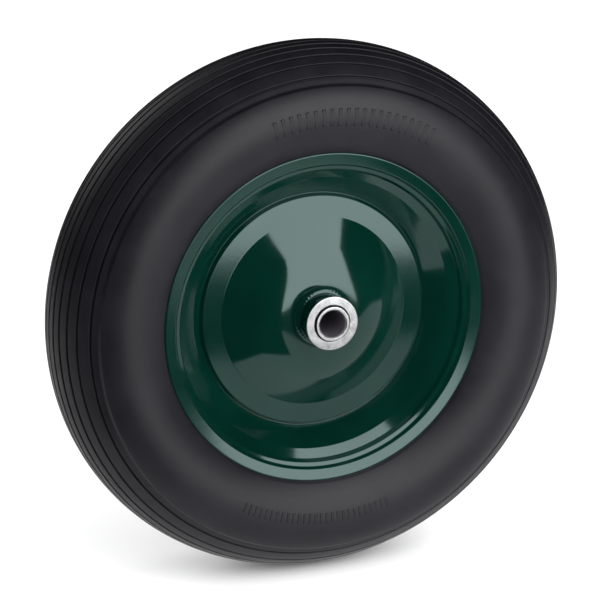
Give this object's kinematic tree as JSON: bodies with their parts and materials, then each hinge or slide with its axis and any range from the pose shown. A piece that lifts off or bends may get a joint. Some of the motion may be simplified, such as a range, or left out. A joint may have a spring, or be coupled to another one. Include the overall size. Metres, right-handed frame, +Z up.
{
  "type": "barrow wheel",
  "caption": "Flat-free barrow wheel: solid ribbed tyre on a pressed steel rim with a welded hub and flanged ball bearings.",
  "frame": {"origin": "the wheel's centre, on the axle's line", "axes": "+Y along the axle, from the front face to the rear face; +Z up; the front face looks towards -Y"},
  "size_m": [0.3783, 0.097, 0.3784],
  "materials": {
    "tyre_rubber": "satin moulded polyurethane foam",
    "green_paint": "gloss powder coat",
    "zinc_plate": "bright zinc plate",
    "ball_steel": "polished steel",
    "seal_rubber": "matt"
  },
  "bodies": {
    "axle_sleeve": {"front_inner_race": "zinc_plate", "spacer_tube": "zinc_plate", "rear_inner_race": "zinc_plate"},
    "wheel": {"tyre": "tyre_rubber", "front_rim_disc": "green_paint", "rear_rim_disc": "green_paint", "rim_band": "green_paint", "hub_tube": "green_paint", "front_hub_weld": "green_paint", "rear_hub_weld": "green_paint", "front_bearing_cup": "zinc_plate", "rear_bearing_cup": "zinc_plate", "front_bearing_back_ring": "zinc_plate", "rear_bearing_back_ring": "zinc_plate", "front_dust_seal": "seal_rubber", "rear_dust_seal": "seal_rubber"},
    "front_ball_ring": {"front_balls": "ball_steel", "front_ball_cage": "zinc_plate"},
    "rear_ball_ring": {"rear_balls": "ball_steel", "rear_ball_cage": "zinc_plate"}
  },
  "joints": [
    {"name": "wheel_spin", "type": "hinge", "parent": "axle_sleeve", "child": "wheel", "pos_m": [0, 0, 0], "axis": [0, 1, 0], "continuous": true},
    {"name": "front_ball_orbit", "type": "hinge", "parent": "axle_sleeve", "child": "front_ball_ring", "pos_m": [0, 0, 0], "axis": [0, 1, 0], "continuous": true},
    {"name": "rear_ball_orbit", "type": "hinge", "parent": "axle_sleeve", "child": "rear_ball_ring", "pos_m": [0, 0, 0], "axis": [0, 1, 0], "continuous": true}
  ],
  "couplings": [
    {"joint": "front_ball_orbit", "follows": "wheel_spin", "ratio": 0.5794},
    {"joint": "rear_ball_orbit", "follows": "wheel_spin", "ratio": 0.5794}
  ]
}
